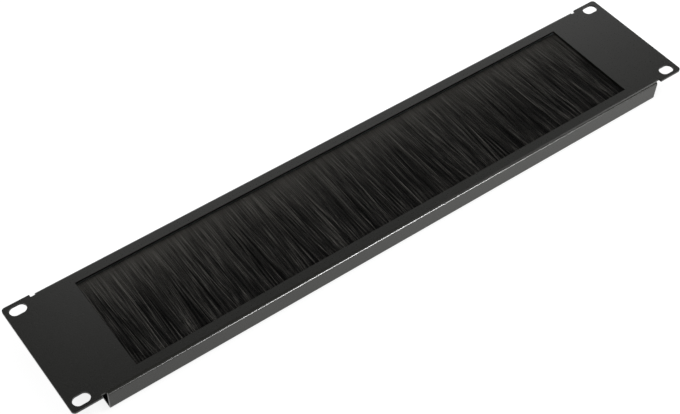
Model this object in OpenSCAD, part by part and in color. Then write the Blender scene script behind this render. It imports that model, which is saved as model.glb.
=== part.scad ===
// Brush strip panel for a 19 inch equipment rack.
// A folded steel panel lies on its two return lips with its face up.
// X runs along the rack width, Y across the panel height, Z out of the face.
// The origin is in the middle of the footprint. All sizes are in millimetres.

/* [Panel] */
// Overall width across the rack ears
panel_width = 482.6; // [480:0.1:486]
// Height in rack units
rack_units = 2; // [2:1:4]
// Height of one rack unit
unit_height = 44.45; // [44.45:0.01:44.5]
// Free play left above and below the panel, in all
height_play = 0.8; // [0.4:0.1:1.6]
// Thickness of the sheet steel
sheet = 1.5; // [1:0.1:2]
// Depth from the face to the back of the return lips
panel_depth = 16; // [14:0.5:30]
// Inside radius of the folds
fold_radius = 0.5; // [0.3:0.1:1]
// Width of the return lips
lip_width = 11; // [6:0.5:12]
// Distance from the end of an ear to the folded flanges
flange_setback = 22.8; // [20:0.1:26]

/* [Rack ears] */
// Distance from the end of an ear to the middle of a slot
slot_end = 8.75; // [8:0.05:9.5]
// Distance from the middle of a slot to the nearest unit boundary
slot_edge = 6.35; // [6:0.05:7]
// Width of a fixing slot
slot_width = 7.4; // [6.5:0.1:8]
// Length of a fixing slot
slot_length = 11.2; // [9:0.1:12]
// Radius of the ear corners
ear_radius = 2.5; // [1:0.5:5]
// Width of the relief notch beside each fold
relief_width = 3.5; // [1.5:0.5:4]

/* [Window] */
// Distance from the end of an ear to the cable window
window_setback = 46.3; // [44:0.1:80]
// Height of the rim left above and below the window
window_rim = 8.05; // [8:0.05:11]

/* [Strip brush] */
// How far the strip brush runs on behind the face at each end of the window
brush_cover = 7; // [3:0.5:8]
// Outer height of the crimped channel
channel_height = 4.8; // [4.4:0.1:6]
// Outer depth of the crimped channel
channel_depth = 4.8; // [4.4:0.1:5]
// Wall of the crimped channel
channel_wall = 0.8; // [0.6:0.05:1]
// How far each channel leg is pinched in at the mouth
channel_pinch = 0.3; // [0:0.05:0.4]
// Diameter of the core wire
wire_diameter = 1.6; // [1:0.1:1.8]
// Distance from the bristle tips to the lower flange
tip_clearance = 3; // [1:0.5:5]
// How far each ply stays closed on the other past the mouth
ply_root = 0.8; // [0.5:0.1:3]
// Distance over which the bristles swell past the mouth
swell_length = 9.6; // [5:0.2:15]
// Width of one bristle bundle, with its gap
bundle_pitch = 4; // [4:0.5:8]
// Gap between bundles in the channel
bundle_gap = 0.2; // [0.1:0.05:0.5]
// Thickness of the bristle curtain at its tips
tip_thickness = 4; // [3:0.2:6]
// Gap between the front and back plies at their tips
ply_gap = 0.6; // [0.2:0.1:1]
// Sideways spread of the front and back plies at their tips
ply_spread = 1; // [0:0.25:2]
// Greatest difference in length between bundles
ragged_ends = 1.5; // [0:0.5:3]
// Share of the bristle length that stays closed where the curtain parts most
closed_least = 0.25; // [0.1:0.05:0.5]
// Share of the bristle length that stays closed where it parts least
closed_most = 0.85; // [0.6:0.05:0.95]
// Width of the narrowest tip, as a share of its bundle
tip_least = 0.45; // [0.2:0.05:0.6]
// Width of the widest tip, as a share of its bundle
tip_most = 0.9; // [0.7:0.05:1]
// Seed that varies the bundles
bundle_seed = 11; // [1:1:99]

/* [Brush holder] */
// Sheet thickness of the holder
holder_sheet = 1; // [0.8:0.1:1.2]
// Inside radius of the holder's folds
holder_fold = 0.2; // [0.1:0.1:0.6]
// Corner radius of the fixing ears
lug_radius = 2; // [1:0.5:4]
// Play between the holder and the panel flange
holder_play = 0.05; // [0:0.05:0.3]
// Play between each end of the strip brush and its stop
stop_gap = 0.1; // [0:0.1:0.5]
// Width of the fixing ear at each end
lug_width = 13; // [10:0.5:14]
// Distance between the two studs of one ear
stud_pitch = 14; // [10:1:20]
// Distance from the return lip to the first stud
stud_inset = 4.5; // [4:0.5:8]

/* [Fasteners] */
// Thread diameter of the weld studs
stud_diameter = 3; // [2.5:0.5:4]
// Length of the weld studs
stud_length = 8; // [6:0.5:10]
// Diameter of the weld flange
weld_flange_diameter = 4.4; // [3.6:0.1:5.4]
// Thickness of the weld flange
weld_flange = 0.7; // [0.4:0.1:0.8]
// Play round the weld flange in the holder
lug_hole_play = 0.3; // [0.1:0.1:0.5]
// Outer diameter of the washers
washer_diameter = 7; // [6:0.5:9]
// Thickness of the washers
washer = 0.5; // [0.4:0.1:1]
// Play of the washer round the stud
washer_play = 0.1; // [0.05:0.05:0.3]
// Width across the flats of the nuts
nut_flats = 5.5; // [5:0.5:7]
// Height of the nuts
nut_height = 2.4; // [1.8:0.1:3.2]

/* [Hidden] */
$fn = 48;
eps = 0.01;

panel_height = rack_units * unit_height - height_play;
flange_length = panel_width - 2 * flange_setback;
slot_pitch_x = panel_width - 2 * slot_end;
slot_pitch_y = rack_units * unit_height - 2 * slot_edge;
bend_outer = fold_radius + sheet;
face_back = panel_depth - sheet;
flange_inner = panel_height / 2 - sheet;
window_width = panel_width - 2 * window_setback;
window_height = panel_height - 2 * window_rim;
ear_start = flange_length / 2 + relief_width;

// the holder lies in the corner of the face and the upper flange
holder_top = face_back;
holder_back = flange_inner - holder_play;
holder_height = channel_height + 2 * holder_sheet;
holder_depth = channel_depth + holder_sheet;
holder_mouth = holder_back - holder_depth;

// the channel fills the holder, and the wire sits on the bristle fold
brush_mid = holder_top - holder_sheet - channel_height / 2;
channel_back = holder_back - holder_sheet;
channel_mouth = channel_back - channel_depth;
channel_inner = channel_height - 2 * channel_wall;
bristle_ply = (channel_inner - wire_diameter) / 2;
wire_y = channel_back - channel_wall - bristle_ply - wire_diameter / 2;
pinch_depth = 1.2;
mouth_thickness = channel_inner - 2 * channel_pinch;
tip_y = -flange_inner + tip_clearance;
brush_length = window_width + 2 * brush_cover;
bundle_count = floor(brush_length / bundle_pitch + eps);
bundle_width = bundle_pitch - bundle_gap;

// each end ear of the holder takes two studs
lug_start = brush_length / 2 + stop_gap + holder_sheet;
stud_x = lug_start + lug_width / 2;
stud_y = flange_inner + sheet - lip_width - stud_inset;
lug_end = stud_y - stud_pitch - lug_width / 2;
washer_top = face_back - holder_sheet;
nut_top = washer_top - washer;
STUD_PLACES = [for (side = [-1, 1], row = [0, 1]) [side * stud_x, stud_y - row * stud_pitch]];

// A rectangle with round corners, centred
module rounded_plate(size, r) {
    square([size[0] - 2 * r, size[1]], center = true);
    square([size[0], size[1] - 2 * r], center = true);
    for (x = [-1, 1], y = [-1, 1])
        translate([x * (size[0] / 2 - r), y * (size[1] / 2 - r)]) circle(r = r);
}

// Extrudes a profile drawn in Y and Z along X, centred
module along_x(length) {
    rotate([90, 0, 90]) linear_extrude(height = length, center = true) children();
}

// A slot through the ear sheet
module fixing_slot() {
    straight = slot_length - slot_width;
    translate([-straight / 2, -slot_width / 2, face_back - eps])
        cube([straight, slot_width, sheet + 2 * eps]);
    for (x = [-1, 1])
        translate([x * straight / 2, 0, face_back - eps])
            cylinder(d = slot_width, h = sheet + 2 * eps);
}

// Section of the folded middle: face, two flanges and two return lips
module folded_section() {
    difference() {
        translate([0, panel_depth / 2]) rounded_plate([panel_height, panel_depth], bend_outer);
        translate([0, panel_depth / 2])
            rounded_plate([panel_height - 2 * sheet, panel_depth - 2 * sheet], fold_radius);
        translate([-panel_height / 2 + lip_width, -eps])
            square([panel_height - 2 * lip_width, sheet + 2 * eps]);
    }
}

// Outline of the face with its two ears and the notches beside the folds
module face_outline() {
    intersection() {
        rounded_plate([panel_width, panel_height], ear_radius);
        union() {
            square([panel_width, panel_height - 2 * bend_outer], center = true);
            for (side = [-1, 1])
                translate([side * (ear_start + panel_width / 2) / 2, 0])
                    square([panel_width / 2 - ear_start, panel_height], center = true);
        }
    }
}

// One folded sheet: ears, window rim, flanges and return lips
module front_panel() {
    color("#33322f") difference() {
        union() {
            along_x(flange_length) folded_section();
            translate([0, 0, face_back]) linear_extrude(height = sheet) face_outline();
        }
        translate([-window_width / 2, -window_height / 2, face_back - eps])
            cube([window_width, window_height, sheet + 2 * eps]);
        for (x = [-1, 1], y = [-1, 1])
            translate([x * slot_pitch_x / 2, y * slot_pitch_y / 2, 0]) fixing_slot();
    }
}

// Section of the folded trough that carries the strip brush
module holder_section() {
    translate([holder_mouth, brush_mid]) difference() {
        rounded_plate([2 * holder_depth, holder_height], holder_sheet + holder_fold);
        translate([-2 * holder_depth, -holder_height])
            square([2 * holder_depth, 2 * holder_height]);
        translate([-eps, -channel_height / 2])
            square([holder_depth - holder_sheet + eps, channel_height]);
    }
}

// Fixing ear at one end of the trough, flat against the back of the face
module holder_lug() {
    lug_length = channel_back - lug_end;
    difference() {
        translate([0, lug_end, holder_top - holder_sheet]) linear_extrude(height = holder_sheet) {
            translate([stud_x, lug_length / 2])
                rounded_plate([lug_width, lug_length], lug_radius);
            translate([lug_start - holder_sheet, holder_mouth - lug_end])
                square([holder_sheet + lug_radius, lug_length - holder_mouth + lug_end]);
        }
        for (row = [0, 1])
            translate([stud_x, stud_y - row * stud_pitch, holder_top - holder_sheet - eps])
                cylinder(d = weld_flange_diameter + lug_hole_play, h = holder_sheet + 2 * eps);
    }
}

// Folded tab that closes one end of the trough
module holder_stop() {
    translate([lug_start - holder_sheet, holder_mouth + holder_sheet, brush_mid - channel_height / 2])
        cube([holder_sheet, holder_depth - 2 * holder_sheet, channel_height]);
}

// Folded sheet holder: trough, end stops and fixing ears
module brush_holder() {
    color("#3a3a3a") union() {
        along_x(2 * lug_start) holder_section();
        for (side = [0, 1]) mirror([side, 0, 0]) {
            holder_lug();
            holder_stop();
        }
    }
}

// Outline that narrows at the channel's mouth, for its outside, its inside and the bristles
module pinched_outline(half, back_y) {
    polygon([
        [channel_mouth, -half + channel_pinch], [channel_mouth + pinch_depth, -half],
        [back_y, -half], [back_y, half],
        [channel_mouth + pinch_depth, half], [channel_mouth, half - channel_pinch]]);
}

// Section of the crimped channel, round at its back and pinched at its mouth
module channel_section() {
    translate([0, brush_mid]) difference() {
        intersection() {
            pinched_outline(channel_height / 2, channel_back);
            translate([channel_mouth, 0])
                rounded_plate([2 * channel_depth, channel_height], channel_wall);
        }
        pinched_outline(channel_inner / 2, channel_back - channel_wall);
        translate([channel_mouth - eps, -mouth_thickness / 2])
            square([2 * eps, mouth_thickness]);
    }
}

// Crimped steel channel of the strip brush
module brush_channel() {
    color("#8f9296") along_x(brush_length) channel_section();
}

// Wire that the bristles are folded over
module core_wire() {
    color("#a8abae") translate([-brush_length / 2, wire_y, brush_mid])
        rotate([0, 90, 0]) cylinder(d = wire_diameter, h = brush_length);
}

// Side view of a folded bundle: round the wire, through the mouth, out to the tips
module bundle_side() {
    swell_y = channel_mouth - swell_length;
    mouth = mouth_thickness / 2;
    swell = channel_inner / 2;
    tip = tip_thickness / 2;
    translate([0, brush_mid]) difference() {
        union() {
            pinched_outline(channel_inner / 2, channel_back - channel_wall);
            polygon([
                [channel_mouth, -mouth], [channel_mouth, mouth], [swell_y, swell],
                [tip_y, tip], [tip_y, ply_gap / 2], [channel_mouth - ply_root, 0],
                [tip_y, -ply_gap / 2], [tip_y, -tip], [swell_y, -swell]]);
        }
        translate([wire_y, 0]) circle(r = wire_diameter / 2 / cos(30), $fn = 6);
    }
}

// Plan of one ply: parallel sides to split_y, then narrowing to its tip
module ply_plan(spread, split_y, tip_width, lean, end_y) {
    half = bundle_width / 2;
    split_x = spread * (channel_mouth - split_y) / (channel_mouth - tip_y);
    tip_x = spread + lean;
    polygon([
        [-half, channel_back], [half, channel_back], [half, channel_mouth],
        [split_x + half, split_y], [tip_x + tip_width / 2, end_y],
        [tip_x - tip_width / 2, end_y], [split_x - half, split_y], [-half, channel_mouth]]);
}

// One ply of a bundle; side 1 is the front ply, and -1 is the back one
module ply(side, draw) {
    closed = closed_least + (closed_most - closed_least) * draw[0];
    split_y = channel_mouth - closed * (channel_mouth - tip_y);
    tip_width = bundle_width * (tip_least + (tip_most - tip_least) * draw[1]);
    lean = (draw[2] - 0.5) * (bundle_width - tip_width);
    end_y = tip_y + ragged_ends * draw[3];
    translate([0, 0, side > 0 ? brush_mid : 0])
        linear_extrude(height = side > 0 ? panel_depth - brush_mid : brush_mid)
            ply_plan(side * ply_spread, split_y, tip_width, lean, end_y);
}

// All bundles of bristles, each folded over the core wire
module bristles() {
    color("#1d1d1c") for (i = [0 : bundle_count - 1])
        translate([(i - (bundle_count - 1) / 2) * bundle_pitch, 0, 0]) intersection() {
            along_x(2 * bundle_pitch) bundle_side();
            for (side = [-1, 1]) ply(side, rands(0, 1, 4, bundle_seed + 2 * i + side));
        }
}

// Threaded stud welded to the back of the face
module weld_stud(place) {
    color("#b08a5a") translate([place[0], place[1], 0]) {
        translate([0, 0, face_back - weld_flange])
            cylinder(d = weld_flange_diameter, h = weld_flange);
        translate([0, 0, face_back - stud_length]) cylinder(d = stud_diameter, h = stud_length);
    }
}

// Flat washer on the holder's ear
module flat_washer(place) {
    color("#c2c4c6") translate([place[0], place[1], nut_top]) difference() {
        cylinder(d = washer_diameter, h = washer);
        translate([0, 0, -eps])
            cylinder(d = stud_diameter + 2 * washer_play, h = washer + 2 * eps);
    }
}

// Hexagon nut with chamfered corners
module hex_nut(place) {
    corner = nut_flats / cos(30);
    chamfer = (corner - nut_flats) / 2;
    color("#c2c4c6") translate([place[0], place[1], nut_top - nut_height]) difference() {
        intersection() {
            cylinder(d = corner, h = nut_height, $fn = 6);
            rotate_extrude() polygon([
                [0, 0], [nut_flats / 2, 0], [corner / 2, chamfer],
                [corner / 2, nut_height], [0, nut_height]]);
        }
        translate([0, 0, -eps]) cylinder(d = stud_diameter, h = nut_height + 2 * eps);
    }
}

front_panel();
brush_holder();
brush_channel();
core_wire();
bristles();
for (i = [1 : len(STUD_PLACES)]) {
    weld_stud(STUD_PLACES[i - 1]);
    flat_washer(STUD_PLACES[i - 1]);
    hex_nut(STUD_PLACES[i - 1]);
}
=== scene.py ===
# %% [markdown]
# # A rack panel with a brush curtain, dressed in Blender
# The panel is one folded sheet of steel under a black powder coat. A long window in it is
# closed by a curtain of nylon bristles, so that cables can pass and the air stays out.
# The solids come from a CAD model and are never moved or reshaped here. Blender gives each
# surface its finish, and makes the things that are too fine for CAD: thousands of single
# bristles, and the threads of four small studs.

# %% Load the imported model
import math

import bmesh
import bpy
import numpy as np
from mathutils import Matrix, Vector


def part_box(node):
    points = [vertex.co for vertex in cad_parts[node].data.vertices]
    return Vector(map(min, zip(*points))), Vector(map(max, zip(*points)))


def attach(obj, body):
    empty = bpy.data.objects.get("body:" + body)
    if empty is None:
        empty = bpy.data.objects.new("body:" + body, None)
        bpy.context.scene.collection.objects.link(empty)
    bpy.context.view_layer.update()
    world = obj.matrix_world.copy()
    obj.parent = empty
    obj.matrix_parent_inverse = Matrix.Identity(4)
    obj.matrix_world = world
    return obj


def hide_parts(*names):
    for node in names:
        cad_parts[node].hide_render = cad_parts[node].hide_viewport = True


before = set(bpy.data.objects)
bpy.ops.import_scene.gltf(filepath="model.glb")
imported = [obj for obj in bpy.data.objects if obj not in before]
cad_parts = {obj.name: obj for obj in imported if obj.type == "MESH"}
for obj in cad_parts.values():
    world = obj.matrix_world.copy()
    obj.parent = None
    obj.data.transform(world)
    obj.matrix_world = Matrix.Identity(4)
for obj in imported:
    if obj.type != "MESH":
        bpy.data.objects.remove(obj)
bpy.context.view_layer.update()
MM = 0.001
print("CAD nodes:", len(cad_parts))

# %% [markdown]
# ## The camera
# Product pictures of flat things are taken from high up and a little to one side, with a long
# lens, so that the face shows whole and the near flange just catches the light. The lens is
# shifted sideways a little, as a view camera does, so the panel sits in the middle of the
# frame while the lens itself points past it.

# %% Camera
SENSOR_MM = 36.0
LENS_MM = 71.01
LENS_SHIFT = 0.0815
CAMERA_TURN = math.radians(-35.14)
CAMERA_RISE = math.radians(49.77)
CAMERA_PLACE = Vector((-0.3730, -0.4376, 0.6660))

camera_data = bpy.data.cameras.new("camera")
camera_data.sensor_width = SENSOR_MM
camera_data.lens = LENS_MM
camera_data.shift_x = LENS_SHIFT
camera = bpy.data.objects.new("camera", camera_data)
bpy.context.scene.collection.objects.link(camera)
towards_lens = Vector((math.sin(CAMERA_TURN) * math.cos(CAMERA_RISE),
                       -math.cos(CAMERA_TURN) * math.cos(CAMERA_RISE),
                       math.sin(CAMERA_RISE)))
camera.location = CAMERA_PLACE
camera.rotation_euler = towards_lens.to_track_quat("Z", "Y").to_euler()
bpy.context.scene.camera = camera
print("lens", LENS_MM, "mm from", round(camera.location.length, 3), "m away")

# %% [markdown]
# ## Two helpers for materials
# Colours are written as the hex values that a paint chart or a colour picker gives. Those are
# sRGB, and Blender's shaders want linear light, so one function turns them. The other adds one
# node to a material, sets its values and links its inputs, so that each material below reads
# as a short list of what feeds what.

# %% Colour helper
def colour(hex_value):
    """Turns a hex colour such as "#33322f" into linear RGBA."""
    parts = [int(hex_value[i:i + 2], 16) / 255 for i in (1, 3, 5)]
    linear = [p / 12.92 if p <= 0.04045 else ((p + 0.055) / 1.055) ** 2.4 for p in parts]
    return (*linear, 1.0)


print("mid grey in linear light:", round(colour("#808080")[0], 3))


# %% Material helpers
def new_material(name):
    """An empty node material; returns it with its node tree and its output node."""
    material = bpy.data.materials.new(name)
    material.use_nodes = True
    tree = material.node_tree
    tree.nodes.clear()
    return material, tree, tree.nodes.new("ShaderNodeOutputMaterial")


def add_node(tree, kind, settings=None, **inputs):
    """Adds a node. An input is named, or numbered as i0; it takes a value or a socket."""
    made = tree.nodes.new(kind)
    for key, value in (settings or {}).items():
        setattr(made, key, value)
    for key, value in inputs.items():
        numbered = key[0] == "i" and key[1:].isdigit()
        socket = made.inputs[int(key[1:]) if numbered else key.replace("_", " ")]
        if isinstance(value, bpy.types.NodeSocket):
            tree.links.new(value, socket)
        else:
            socket.default_value = value
    return made


def dress(names, material):
    """Gives CAD nodes a finish."""
    for name in names:
        data = bpy.data.objects[name].data
        data.materials.clear()
        data.materials.append(material)
    print(material.name, "on", len(names), "nodes")


# %% [markdown]
# ## The ground
# The ground is plain white paper. What the camera sees of it gets a little light of its own,
# so that it stays white up to the edges, and the panel still drops a soft shadow on it. Glossy
# rays see nearly the same white, because the near flange mirrors the ground in front of it:
# that is one reason why a black flange looks greyer than the face above it. Diffuse rays see
# plain paper without that glow, so the panel isn't lit from below.

# %% Floor
FLOOR_SIZE = 8.0
PAPER_GLOW = 0.86
MIRRORED_SHARE = 0.85

floor_mesh = bmesh.new()
bmesh.ops.create_grid(floor_mesh, x_segments=1, y_segments=1, size=FLOOR_SIZE / 2)
floor_data = bpy.data.meshes.new("floor")
floor_mesh.to_mesh(floor_data)
floor_mesh.free()
floor = bpy.data.objects.new("floor", floor_data)
bpy.context.scene.collection.objects.link(floor)

paper, tree, output = new_material("white_paper")
plain = add_node(tree, "ShaderNodeBsdfDiffuse", Color=colour("#8c8c8c"))
glow = add_node(tree, "ShaderNodeEmission", Color=(1, 1, 1, 1), Strength=PAPER_GLOW)
both = add_node(tree, "ShaderNodeAddShader", i0=plain.outputs[0], i1=glow.outputs[0])
rays = add_node(tree, "ShaderNodeLightPath")
mirrored = add_node(tree, "ShaderNodeMath", {"operation": "MAXIMUM"},
                    i0=rays.outputs["Is Glossy Ray"], i1=rays.outputs["Is Transmission Ray"])
dulled = add_node(tree, "ShaderNodeMath", {"operation": "MULTIPLY"},
                  i0=mirrored.outputs[0], i1=MIRRORED_SHARE)
seen = add_node(tree, "ShaderNodeMath", {"operation": "MAXIMUM"},
                i0=rays.outputs["Is Camera Ray"], i1=dulled.outputs[0])
mixed = add_node(tree, "ShaderNodeMixShader", i0=seen.outputs[0],
                 i1=plain.outputs[0], i2=both.outputs[0])
tree.links.new(mixed.outputs[0], output.inputs["Surface"])
floor_data.materials.append(paper)
print("floor", FLOOR_SIZE, "m square")

# %% [markdown]
# ## Soft studio light
# A black object is lit by what it mirrors, so each lamp is placed by the surface that should
# show it. A grey room lights everything evenly. Two large softboxes, high on the left and on
# the right, hang where the flat face doesn't mirror them, so the face stays dark while the
# bristles get light from both sides. A dim softbox behind the panel ends just below the
# direction that the face mirrors: the far and right parts of the face look into it and the near
# and left parts look over its top, so the black falls off slowly from the far right to the near
# left. A softbox as thin as a ruler lies in front on the ground. It draws the bright line on the
# near fold, because only a rounded edge turns it to the lens, and it stays lower than the face,
# so that it can't reach the cut edges of the window.

# %% World
ROOM_LIGHT = 0.20

world = bpy.data.worlds.new("studio")
bpy.context.scene.world = world
world.use_nodes = True
world.node_tree.nodes["Background"].inputs["Color"].default_value = (1, 1, 1, 1)
world.node_tree.nodes["Background"].inputs["Strength"].default_value = ROOM_LIGHT
print("room light", ROOM_LIGHT)


# %% Softboxes
def softbox(name, place, aim, width, height, watts):
    """A rectangular area lamp that faces the point `aim`."""
    data = bpy.data.lights.new(name, "AREA")
    data.shape = "RECTANGLE"
    data.size = width
    data.size_y = height
    data.energy = watts
    lamp = bpy.data.objects.new(name, data)
    lamp.location = place
    lamp.rotation_euler = (Vector(place) - Vector(aim)).to_track_quat("Z", "Y").to_euler()
    bpy.context.scene.collection.objects.link(lamp)
    print(name, "at", place, "m,", watts, "W")


MIDDLE = (0, 0, 0)
softbox("left_softbox", (-0.9, 0.2, 1.7), MIDDLE, width=1.2, height=0.9, watts=14)
softbox("right_softbox", (1.5, -0.3, 1.2), MIDDLE, width=1.2, height=0.9, watts=17)
softbox("back_softbox", (0.58, 0.62, 0.53), (0.58, 0, 0.3), width=1.32, height=0.5, watts=2.75)
softbox("front_softbox", (0.45, -1.15, 0.011), (0, 0, 0.011), width=0.44, height=0.018, watts=29)
bpy.context.scene.view_settings.view_transform = "Standard"

# %% [markdown]
# ## Powder coat on the panel
# Powder coat is sprayed on dry and baked, so it flows into a skin of fine orange peel. Its
# grains of about a third of a millimetre break a reflection up without hiding it. Grains that
# small wouldn't show in a picture of the whole panel, so they are drawn at 0.8 mm, which is as
# coarse as they need to be. The film is a plastic over steel, so it isn't metallic. Its IOR is
# a little under the 1.5 of a paint, because the fine peel takes away some of the mirror.

# %% Powder-coated steel
GRAIN_MM = 0.8  # drawn coarser than real peel, so that it shows
CLOUD_MM = 60.0
PEEL_DEPTH_MM = 0.045
COAT_IOR = 1.42

powder, tree, output = new_material("powder_coated_steel")
place = add_node(tree, "ShaderNodeTexCoord").outputs["Object"]
grain = add_node(tree, "ShaderNodeTexNoise", Vector=place, Scale=1 / (GRAIN_MM * MM), Detail=2.0)
cloud = add_node(tree, "ShaderNodeTexNoise", Vector=place, Scale=1 / (CLOUD_MM * MM), Detail=3.0)
tone = add_node(tree, "ShaderNodeMix", {"data_type": "RGBA"}, i0=cloud.outputs["Fac"],
                i6=colour("#12120f"), i7=colour("#181815"))
rough = add_node(tree, "ShaderNodeMapRange", Value=grain.outputs["Fac"],
                 To_Min=0.24, To_Max=0.34)
peel = add_node(tree, "ShaderNodeBump", Height=grain.outputs["Fac"], Strength=1.0,
                Distance=PEEL_DEPTH_MM * MM)
coat = add_node(tree, "ShaderNodeBsdfPrincipled", Base_Color=tone.outputs[2],
                Roughness=rough.outputs[0], Normal=peel.outputs[0], IOR=COAT_IOR)
tree.links.new(coat.outputs[0], output.inputs["Surface"])
dress(["front_panel", "brush_holder"], powder)

# %% [markdown]
# ## Bare and plated steel behind the face
# The brush's channel is galvanised strip, its wire is drawn steel, and the small fasteners are
# zinc plated or copper washed. None of them shows from the front, but the back of a panel is
# seen by whoever fits it, so each gets its own finish. All are metals, which colour their
# reflections, so one function makes them: two tones in soft blotches, and a roughness that
# follows the blotches. What differs is the tint, the gloss and the size of the blotches.

# %% Metals of the hidden pieces
BLOTCH_CONTRAST = 0.07


def metal(name, light, dark, roughness, blotch_mm):
    """A plated or drawn metal with blotches of a size in millimetres."""
    made, tree, output = new_material(name)
    place = add_node(tree, "ShaderNodeTexCoord").outputs["Object"]
    blotch = add_node(tree, "ShaderNodeTexNoise", Vector=place, Scale=1 / (blotch_mm * MM),
                      Detail=3.0)
    tone = add_node(tree, "ShaderNodeMix", {"data_type": "RGBA"}, i0=blotch.outputs["Fac"],
                    i6=colour(dark), i7=colour(light))
    rough = add_node(tree, "ShaderNodeMapRange", Value=blotch.outputs["Fac"],
                     To_Min=roughness - BLOTCH_CONTRAST, To_Max=roughness + BLOTCH_CONTRAST)
    skin = add_node(tree, "ShaderNodeBsdfPrincipled", Base_Color=tone.outputs[2],
                    Metallic=1.0, Roughness=rough.outputs[0])
    tree.links.new(skin.outputs[0], output.inputs["Surface"])
    return made


# hot-dipped strip: dull and bluish, with wide pale clouds
galvanised = metal("galvanised_steel", "#b4b9bd", "#8d9297", 0.42, 6.0)
# wire pulled through a die: plain grey with a satin gloss
wire_steel = metal("drawn_steel_wire", "#b9bcc0", "#9b9ea3", 0.30, 2.0)
# a thin bright plating: the palest and the glossiest of the four
zinc = metal("zinc_plated_steel", "#c9ccd0", "#a9adb3", 0.26, 1.5)
# a wash of copper that keeps a weld stud from rust: brown-pink, a little uneven
copper_wash = metal("copper_washed_steel", "#c08a68", "#9c6a4c", 0.34, 1.2)
FASTENER_NUMBERS = range(1, 5)
dress(["brush_channel"], galvanised)
dress(["core_wire"], wire_steel)
dress([f"{kind}_{i}" for kind in ("washer", "nut") for i in FASTENER_NUMBERS], zinc)
dress([f"weld_stud_{i}" for i in FASTENER_NUMBERS], copper_wash)

# %% [markdown]
# ## Threads of the studs
# The four studs are M3, with a thread of 0.5 mm pitch. A thread is what a zigzag profile sweeps
# out when it turns and climbs one pitch a turn. That is the spin operator with a climb, here
# called dvec. It leaves a ragged start and end, so two cutting planes trim the screw and the
# cuts are filled. The weld flange at the root is a disc that overlaps the rod a little. The CAD
# stud is a plain cylinder with that flange, and the threaded one keeps its length, its diameter
# and its flange.

# %% Threaded studs
STUD_MM = 3.0
PITCH_MM = 0.5
THREAD_DEPTH_MM = 0.28
FLANGE_MM = 0.7
FLANGE_BITE_MM = 0.2
TURN_STEPS = 16
FLANGE_SIDES = 32
SPARE_BELOW = 1.5  # pitches that the lower cutting plane takes off
SPARE_IN_ALL = 2
MERGE_MM = 0.001


def screw(middle, radius, low_z, high_z):
    """A closed threaded rod along Z, in metres, as a bmesh."""
    rod = bmesh.new()
    pitch = PITCH_MM * MM
    corners = 2 * math.ceil((high_z - low_z) / pitch + SPARE_IN_ALL) + 1
    radii = [radius if i % 2 else radius - THREAD_DEPTH_MM * MM for i in range(corners)]
    profile = [rod.verts.new((middle.x + r, middle.y, low_z + (i / 2 - SPARE_BELOW) * pitch))
               for i, r in enumerate(radii)]
    edges = [rod.edges.new(pair) for pair in zip(profile, profile[1:])]
    bmesh.ops.spin(rod, geom=profile + edges, cent=(middle.x, middle.y, 0), axis=(0, 0, 1),
                   dvec=(0, 0, pitch / TURN_STEPS), angle=2 * math.pi, steps=TURN_STEPS)
    bmesh.ops.remove_doubles(rod, verts=rod.verts, dist=MERGE_MM * MM)
    for height, outward in ((low_z, -1), (high_z, 1)):
        bmesh.ops.bisect_plane(rod, geom=[*rod.verts, *rod.edges, *rod.faces],
                               plane_co=(middle.x, middle.y, height),
                               plane_no=(0, 0, outward), clear_outer=True)
    bmesh.ops.remove_doubles(rod, verts=rod.verts, dist=MERGE_MM * MM)
    bmesh.ops.holes_fill(rod, edges=[edge for edge in rod.edges if edge.is_boundary])
    bmesh.ops.recalc_face_normals(rod, faces=rod.faces)
    return rod


for number in FASTENER_NUMBERS:
    low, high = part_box(f"weld_stud_{number}")
    middle = (low + high) / 2
    thread_radius = STUD_MM / 2 * MM
    flange_low = high.z - FLANGE_MM * MM
    stud = screw(middle, thread_radius, low.z, flange_low + FLANGE_BITE_MM * MM)
    place = Matrix.Translation((middle.x, middle.y, (flange_low + high.z) / 2))
    bmesh.ops.create_cone(stud, cap_ends=True, segments=FLANGE_SIDES, matrix=place,
                          radius1=(high.x - low.x) / 2, radius2=(high.x - low.x) / 2,
                          depth=high.z - flange_low)
    mesh = bpy.data.meshes.new(f"threaded_stud_{number}")
    stud.to_mesh(mesh)
    stud.free()
    mesh.materials.append(copper_wash)
    piece = bpy.data.objects.new(mesh.name, mesh)
    bpy.context.scene.collection.objects.link(piece)
    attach(piece, "root")
    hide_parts(f"weld_stud_{number}")
    print(piece.name, len(mesh.polygons), "faces")

# %% [markdown]
# ## Black nylon
# Brush filament is nylon that is coloured right through and drawn smooth, so it is black with
# a soft gloss, and its IOR is nylon's 1.53. The strands of a curtain hide the room from one
# another, so they mirror far less of it than one filament on a table would: the specular level
# is low. No two strands look the same: each has a tone of its own, and because each is turned
# and bent a little differently, each is also given painted sheen, painted glints and painted
# shade in its colour. All of that is carried in an attribute called `tone`, which the material
# reads.

# %% Black nylon filament
nylon, tree, output = new_material("black_nylon_filament")
# the attribute tone holds each strand's own tone together with its painted sheen, glints and
# shade
strand_tone = add_node(tree, "ShaderNodeAttribute", {"attribute_name": "tone"})
tone = add_node(tree, "ShaderNodeMix", {"data_type": "RGBA"}, i0=strand_tone.outputs["Fac"],
                i6=colour("#050505"), i7=colour("#65635f"))
filament = add_node(tree, "ShaderNodeBsdfPrincipled", Base_Color=tone.outputs[2],
                    Roughness=0.5, IOR=1.53, Specular_IOR_Level=0.1)
tree.links.new(filament.outputs[0], output.inputs["Surface"])
print(nylon.name, "reads the attribute", strand_tone.attribute_name)

# %% [markdown]
# ## The brush curtain
# A strip brush is made by laying filaments across a wire, folding them round it like hairpins,
# and crimping a channel over the fold. So each bristle here is one hairpin: a leg in the front
# ply, a turn round the wire, and a leg in the back ply. The CAD model already gives the wire,
# the mouth of the channel and the reach of the tips, and those sizes are read from it. Real
# filament is about 0.2 mm thick. It is drawn a little thicker, so that 7500 hairpins close the
# window as the many more real ones do.

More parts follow.
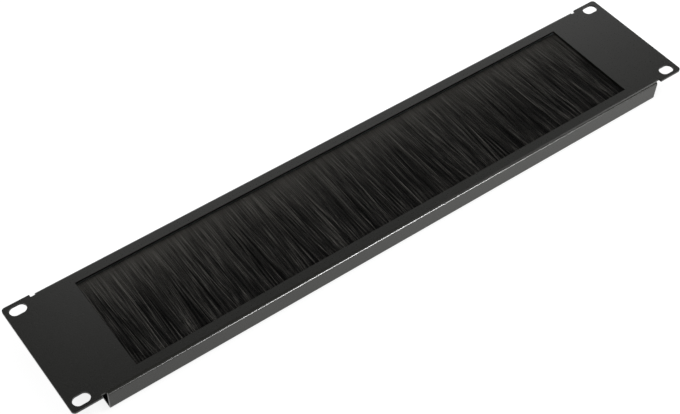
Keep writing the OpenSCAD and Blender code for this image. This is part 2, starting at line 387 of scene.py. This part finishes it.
# %% Sizes of the brush
STRAND_MM = 0.28
LEG_POINTS = 7
TURN_POINTS = 3
END_MARGIN_MM = 0.4
MOUTH_HALF_MM = 1.15  # half of what the pinched channel leaves open, less half a strand

brush_low, brush_high = [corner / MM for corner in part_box("bristles")]
channel_low, channel_high = [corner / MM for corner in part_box("brush_channel")]
wire_low, wire_high = [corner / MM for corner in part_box("core_wire")]
wire_y = (wire_low.y + wire_high.y) / 2
wire_z = (wire_low.z + wire_high.z) / 2
wire_radius = (wire_high.z - wire_low.z) / 2
mouth_y = channel_low.y
tips_y = brush_low.y
half_length = channel_high.x - END_MARGIN_MM
tip_half = (brush_high.z - brush_low.z) / 2 - STRAND_MM / 2
along = np.linspace(0, 1, LEG_POINTS)
print(f"wire at y {wire_y:.2f}, z {wire_z:.2f}; mouth {mouth_y:.2f}, tips {tips_y:.2f} mm")
print("a leg has", LEG_POINTS, "points, one every",
      round((mouth_y - tips_y) / (LEG_POINTS - 1), 1), "mm")

# %% [markdown]
# ### Roots
# The roots stand evenly along the channel, each a random bit off its place. `depth` says how
# deep a strand lies in its ply: 0 is next to the other ply and 1 is on the outside. Steps of
# the golden ratio give neighbours very different depths and leave no stretch of the channel
# without a strand at every depth, so the curtain is closed all along.

# %% Roots and depths of the hairpins
HAIRPINS = 7500
GOLDEN = (math.sqrt(5) - 1) / 2
LEAST_DEPTH = 0.04

draws = np.random.default_rng(19)
roots = (np.arange(HAIRPINS) + draws.uniform(0, 1, HAIRPINS)) / HAIRPINS
roots = (2 * roots - 1) * half_length
depth = LEAST_DEPTH + (1 - LEAST_DEPTH) * (np.arange(HAIRPINS) * GOLDEN % 1)
print(HAIRPINS, "roots from", roots.min().round(1), "to", roots.max().round(1), "mm")

# %% [markdown]
# ### How strands gather
# Bristles that touch cling together, so towards the tips they gather into tufts, with dark
# slits between. It happens at several sizes at once: a few strands make a tuft, and tufts lean
# on each other. Each size is a row of uneven cells along the strip. A strand is drawn towards
# the middle of its cell and leans with it. Each tuft also gets a painted glint: one that would
# turn its side to the light is painted lighter than its neighbour, and that painted glint
# changes along the tuft, as it would if the tuft twisted.

# %% One row of tufts
CELL_EVENNESS = 4.0  # a higher value makes the cells more alike
CELLS_PER_LENGTH = 1.3  # more cells than fit, because their widths are random
LEAST_PULL = 0.3
MOST_PULL = 0.95
# shares of a tuft's painted glint: one part holds for the whole tuft, one changes along it
WHOLE_SHARE = 0.2
GLINT_ALONG_SHARE = 0.98


def tuft_row(rng, size_mm, pull, lean_mm):
    """Each strand's sideways shift at its tip, in mm, and its painted glints and shades along its
    length.
    """
    count = int(CELLS_PER_LENGTH * 2 * half_length / size_mm)
    widths = rng.gamma(CELL_EVENNESS, size_mm / CELL_EVENNESS, count)
    edges = -half_length - size_mm + np.cumsum(widths)
    middles = (edges[:-1] + edges[1:]) / 2
    pulls = np.minimum(pull * rng.uniform(LEAST_PULL, 1.0, len(middles)) ** 2, MOST_PULL)
    leans = rng.normal(0, lean_mm, len(middles))
    # painted glint of each tuft, as a whole and point by point along its length
    whole = rng.normal(0, 1, (len(middles), 1))
    glint_along = rng.normal(0, 1, (len(middles), LEG_POINTS))
    cell = np.clip(np.searchsorted(edges, roots) - 1, 0, len(middles) - 1)
    shift = pulls[cell] * (middles[cell] - roots) + leans[cell]
    return shift, (WHOLE_SHARE * whole + GLINT_ALONG_SHARE * glint_along)[cell]


print("a row of tufts covers", round(2 * half_length, 1), "mm of the strip")

# %% [markdown]
# ### Sideways
# The big tufts are shared by a whole ply. The small ones are drawn twice, for the outer strands
# and for those just below, so that they cross each other as real tufts do. The strands deep
# inside the curtain are held by the others and hardly gather, which is why no light comes
# through the slits: `hold` is 0 for them and 1 for the free ones. A slow sway runs through the
# whole curtain, and every free strand has a small lean and a wave of its own.

# %% Sideways places of one ply
SWAY_CELL_MM = 18.0
SWAY_MM = 1.0
SWAY_CURVE = 1.2
HELD_DEPTH = 0.45
HOLD_FADE = 0.2
OUTER_DEPTH = 0.85
# each row of tufts: cell in mm, pull, lean in mm, start along the leg, weight of its painted
# glint
TUFTS = ((13.0, 0.30, 1.0, 0.15, 0.15), (4.5, 0.20, 0.8, 0.25, 0.1), (0.75, 1.70, 1.6, 0.05, 1.0))
CROSSING_MM = 1.0  # a row with smaller cells is drawn twice
TUFT_CURVE = 1.3
STRAY_LEAN_MM = 0.2
HELD_STRAY = 0.2
WAVE_MM = 0.12
WAVE_RADIANS = 5

hold = np.clip((depth - HELD_DEPTH) / HOLD_FADE, 0, 1)


def sideways(rng):
    """X of every point of one ply, in mm, and the painted glints and shades of its tufts."""
    sway_at = np.arange(-half_length - SWAY_CELL_MM, half_length + SWAY_CELL_MM, SWAY_CELL_MM)
    sway = np.interp(roots, sway_at, rng.normal(0, SWAY_MM, len(sway_at)))
    x = roots[:, None] + np.outer(sway, along ** SWAY_CURVE)
    shades = np.zeros((HAIRPINS, LEG_POINTS))
    outer = depth > OUTER_DEPTH
    for size_mm, pull, lean_mm, start, weight in TUFTS:
        shift, shade = tuft_row(rng, size_mm, pull, lean_mm)
        if size_mm < CROSSING_MM:
            under_shift, under_shade = tuft_row(rng, size_mm, pull, lean_mm)
            shift = np.where(outer, shift, under_shift)
            shade = np.where(outer[:, None], shade, under_shade)
        gathering = np.clip((along - start) / (1 - start), 0, 1) ** TUFT_CURVE
        x += np.outer(shift * hold, gathering)
        # the tufts' painted glints and shades add up by their weights
        shades += weight * shade
    x += np.outer(rng.normal(0, STRAY_LEAN_MM, HAIRPINS) * (HELD_STRAY + hold), along)
    phase = rng.uniform(0, 2 * math.pi, (HAIRPINS, 1))
    wave = rng.normal(0, WAVE_MM, (HAIRPINS, 1)) * hold[:, None]
    return x + wave * np.sin(WAVE_RADIANS * along + phase) * along, shades


print("held strands:", int((hold == 0).sum()), "of", HAIRPINS)

# %% [markdown]
# ### Length and thickness
# The tips are cut in one pass, so they end almost in line, and none is longer than the CAD's.
# Past the mouth a ply swells, because the crimp squeezed it, and then it thickens steadily to
# the tips. The back ply is the front ply's mirror image with its own random draws.

# %% Legs of both plies
TIP_SCATTER_MM = 0.8
LONGEST_SCATTER = 3  # in units of TIP_SCATTER_MM
DEPTH_DRIFT = 0.06  # how far a strand wanders in depth on its way to the tip
LEAST_TIP_DEPTH = 0.03
SWELL_MM = 0.18
SWELL_TURN = 1.6


def ply_legs(side, seed):
    """Points of one leg of every hairpin, from mouth to tip, in mm, and the tufts' painted glints
    and shades.
    """
    rng = np.random.default_rng(seed)
    x, shades = sideways(rng)
    scatter = np.abs(rng.normal(0, TIP_SCATTER_MM, HAIRPINS))
    ends = tips_y + np.minimum(scatter, LONGEST_SCATTER * TIP_SCATTER_MM)
    y = mouth_y + np.outer(ends - mouth_y, along)
    at_tip = np.clip(depth + rng.normal(0, DEPTH_DRIFT, HAIRPINS), LEAST_TIP_DEPTH, 1.0)
    height = np.outer(MOUTH_HALF_MM * depth, 1 - along) + np.outer(tip_half * at_tip, along)
    swell = np.outer(SWELL_MM * depth, np.sin(math.pi * np.minimum(along * SWELL_TURN, 1)))
    z = wire_z + side * np.minimum(height + swell, tip_half)
    return np.stack([x, y, z], axis=2), shades


front_legs, front_shades = ply_legs(1, 3)
back_legs, back_shades = ply_legs(-1, 5)
print("legs in each ply:", len(front_legs), "with", LEG_POINTS, "points")

# %% [markdown]
# ### Turns round the wire
# Inside the channel a hairpin passes behind the wire. The strands that lie further out in the
# plies also turn further out. Front leg, turn and back leg make one line of points, from one
# tip to the other.

# %% Whole hairpins
TURN_GAP_MM = 0.24
TURN_LAYER_MM = 0.4

turn_radius = wire_radius + TURN_GAP_MM + TURN_LAYER_MM * depth
angles = np.linspace(math.pi / 2, -math.pi / 2, TURN_POINTS)
turns = np.stack([np.repeat(roots[:, None], TURN_POINTS, axis=1),
                  wire_y + np.outer(turn_radius, np.cos(angles)),
                  wire_z + np.outer(turn_radius, np.sin(angles))], axis=2)
hairpins = np.concatenate([front_legs[:, ::-1], turns, back_legs], axis=1)
print("hairpins:", hairpins.shape[0], "with", hairpins.shape[1], "points each")

# %% [markdown]
# ### Tones
# Near the channel the strands lie side by side and shine as one skin, and that sheen is painted
# into their tone, fading towards the tips. Towards the tips they part, so that most of them lie
# in the shade of others, and only the tufts on top catch the light: their painted glints grow
# stronger there. The strands below them get a darker tone, which is painted shade standing in for
# what thousands of thinner strands would give. The cut tips get a little painted light, for the
# light that a blunt end catches and against the shadow of the near rim.

# %% Tone of every point
# painted sheen near the channel, on top of the strands' own tone
ROOT_PAINTED_SHEEN = 0.63
TIP_TONE = 0.143
FADE = 0.20  # share of the leg over which the painted sheen of the roots fades
# strength of the tufts' painted glints and shades at the roots and at the tips
ROOT_CONTRAST = 0.15
TIP_CONTRAST = 0.92
STRAND_NOISE = 0.8
POINT_NOISE = 1.0
# painted shade of the strands deep in a ply: the least share of light they keep
INNER_TONE = 0.12
INNER_CURVE = 1.5
PARTED = 1 / 3  # where along the leg the strands lie apart and the painted shade of the inner ones is full
# painted light on the cut tips
TIP_PAINTED_LIGHT = 1.5


def leg_tones(shades, rng):
    """Tone of every point of one leg of every hairpin, with painted sheen, glints and shade."""
    # painted sheen: the roots are lighter, fading towards the tips
    skin = TIP_TONE + ROOT_PAINTED_SHEEN * np.exp(-along / FADE)
    contrast = ROOT_CONTRAST + (TIP_CONTRAST - ROOT_CONTRAST) * np.sqrt(along)
    # a random tone of each strand and of each point, added to the tufts' painted glints
    strand_noise = rng.normal(0, STRAND_NOISE, (HAIRPINS, 1))
    shades = shades + strand_noise + rng.normal(0, POINT_NOISE, shades.shape)
    # painted shade: strands deeper in the ply get darker towards the tips
    lit = np.clip((depth - HELD_DEPTH) / (OUTER_DEPTH - HELD_DEPTH), INNER_TONE, 1)
    shaded = 1 - np.outer(1 - lit ** INNER_CURVE, np.clip(along / PARTED, 0, 1))
    # painted light: the last point of each leg is made lighter
    painted_tip_light = np.where(along == 1, TIP_PAINTED_LIGHT, 1)
    return np.clip(skin * np.exp(contrast * shades - contrast ** 2 / 2) * shaded * painted_tip_light, 0, 1)


front_tones = leg_tones(front_shades, draws)
back_tones = leg_tones(back_shades, draws)
turn_tones = np.repeat(front_tones[:, :1], TURN_POINTS, axis=1)
tones = np.concatenate([front_tones[:, ::-1], turn_tones, back_tones], axis=1)
print("tones from", tones.min().round(2), "to", tones.max().round(2))

# %% [markdown]
# ### From points to tubes
# A curve with a bevel object makes a tube along every spline at once. The bevel object is a
# triangle: a strand is thinner than half a millimetre, so three smooth-shaded sides look round,
# and each strand needs only a few dozen faces. The curve is then made a mesh, because a mesh
# can carry the tones. Blender lists the end caps first, last strand first, and keeps them
# loose from the tubes, so the tones follow that order. Afterwards the doubles are merged and
# all faces are turned outwards.

# %% Strand section
SIDES = 3

section_data = bpy.data.curves.new("strand_section", "CURVE")
section_data.dimensions = "2D"
triangle = section_data.splines.new("POLY")
triangle.points.add(SIDES - 1)
for point, turn in zip(triangle.points, np.arange(SIDES) * 2 * math.pi / SIDES):
    point.co = (STRAND_MM / 2 * MM * math.cos(turn), STRAND_MM / 2 * MM * math.sin(turn), 0, 1)
triangle.use_cyclic_u = True
section = bpy.data.objects.new("strand_section", section_data)
bpy.context.scene.collection.objects.link(section)
print("strand section:", SIDES, "sides,", STRAND_MM, "mm across")


# %% Tubes along lines
def strand_mesh(name, lines, line_tones):
    """Makes one mesh of thin closed tubes, one along each row of points."""
    data = bpy.data.curves.new(name, "CURVE")
    data.dimensions = "3D"
    data.bevel_mode = "OBJECT"
    data.bevel_object = section
    data.use_fill_caps = True
    for line in lines:
        spline = data.splines.new("POLY")
        spline.points.add(len(line) - 1)
        spline.points.foreach_set("co", np.column_stack([line * MM, np.ones(len(line))]).ravel())
    curve = bpy.data.objects.new(name, data)
    bpy.context.scene.collection.objects.link(curve)
    bpy.context.view_layer.update()
    depsgraph = bpy.context.evaluated_depsgraph_get()
    mesh = bpy.data.meshes.new_from_object(curve.evaluated_get(depsgraph))
    bpy.data.objects.remove(curve)
    caps = line_tones[::-1][:, [-1, 0]].ravel()
    values = np.repeat(np.concatenate([caps, line_tones.ravel()]), SIDES)
    tone_of_points = mesh.attributes.new("tone", "FLOAT", "POINT")
    tone_of_points.data.foreach_set("value", values.astype(np.float32))
    closed = bmesh.new()
    closed.from_mesh(mesh)
    bmesh.ops.remove_doubles(closed, verts=closed.verts, dist=MERGE_MM * MM)
    bmesh.ops.recalc_face_normals(closed, faces=closed.faces)
    closed.to_mesh(mesh)
    closed.free()
    return mesh


# %% [markdown]
# ### Pieces of the curtain
# A piece of up to 200,000 triangles is exported as it is, and a heavier one is thinned. The
# curtain is made in six stretches from left to right. Together they replace the CAD's bundles of
# bristles.

# %% Bristle pieces
PIECES = 6

for number, group in enumerate(np.array_split(np.arange(HAIRPINS), PIECES), 1):
    name = f"bristles_{number}"
    mesh = strand_mesh(name, hairpins[group], tones[group])
    mesh.materials.append(nylon)
    piece = bpy.data.objects.new(name, mesh)
    bpy.context.scene.collection.objects.link(piece)
    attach(piece, "root")
    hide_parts("bristles")
    mesh.calc_loop_triangles()
    print(name, len(mesh.loop_triangles), "triangles")
bpy.data.objects.remove(section)
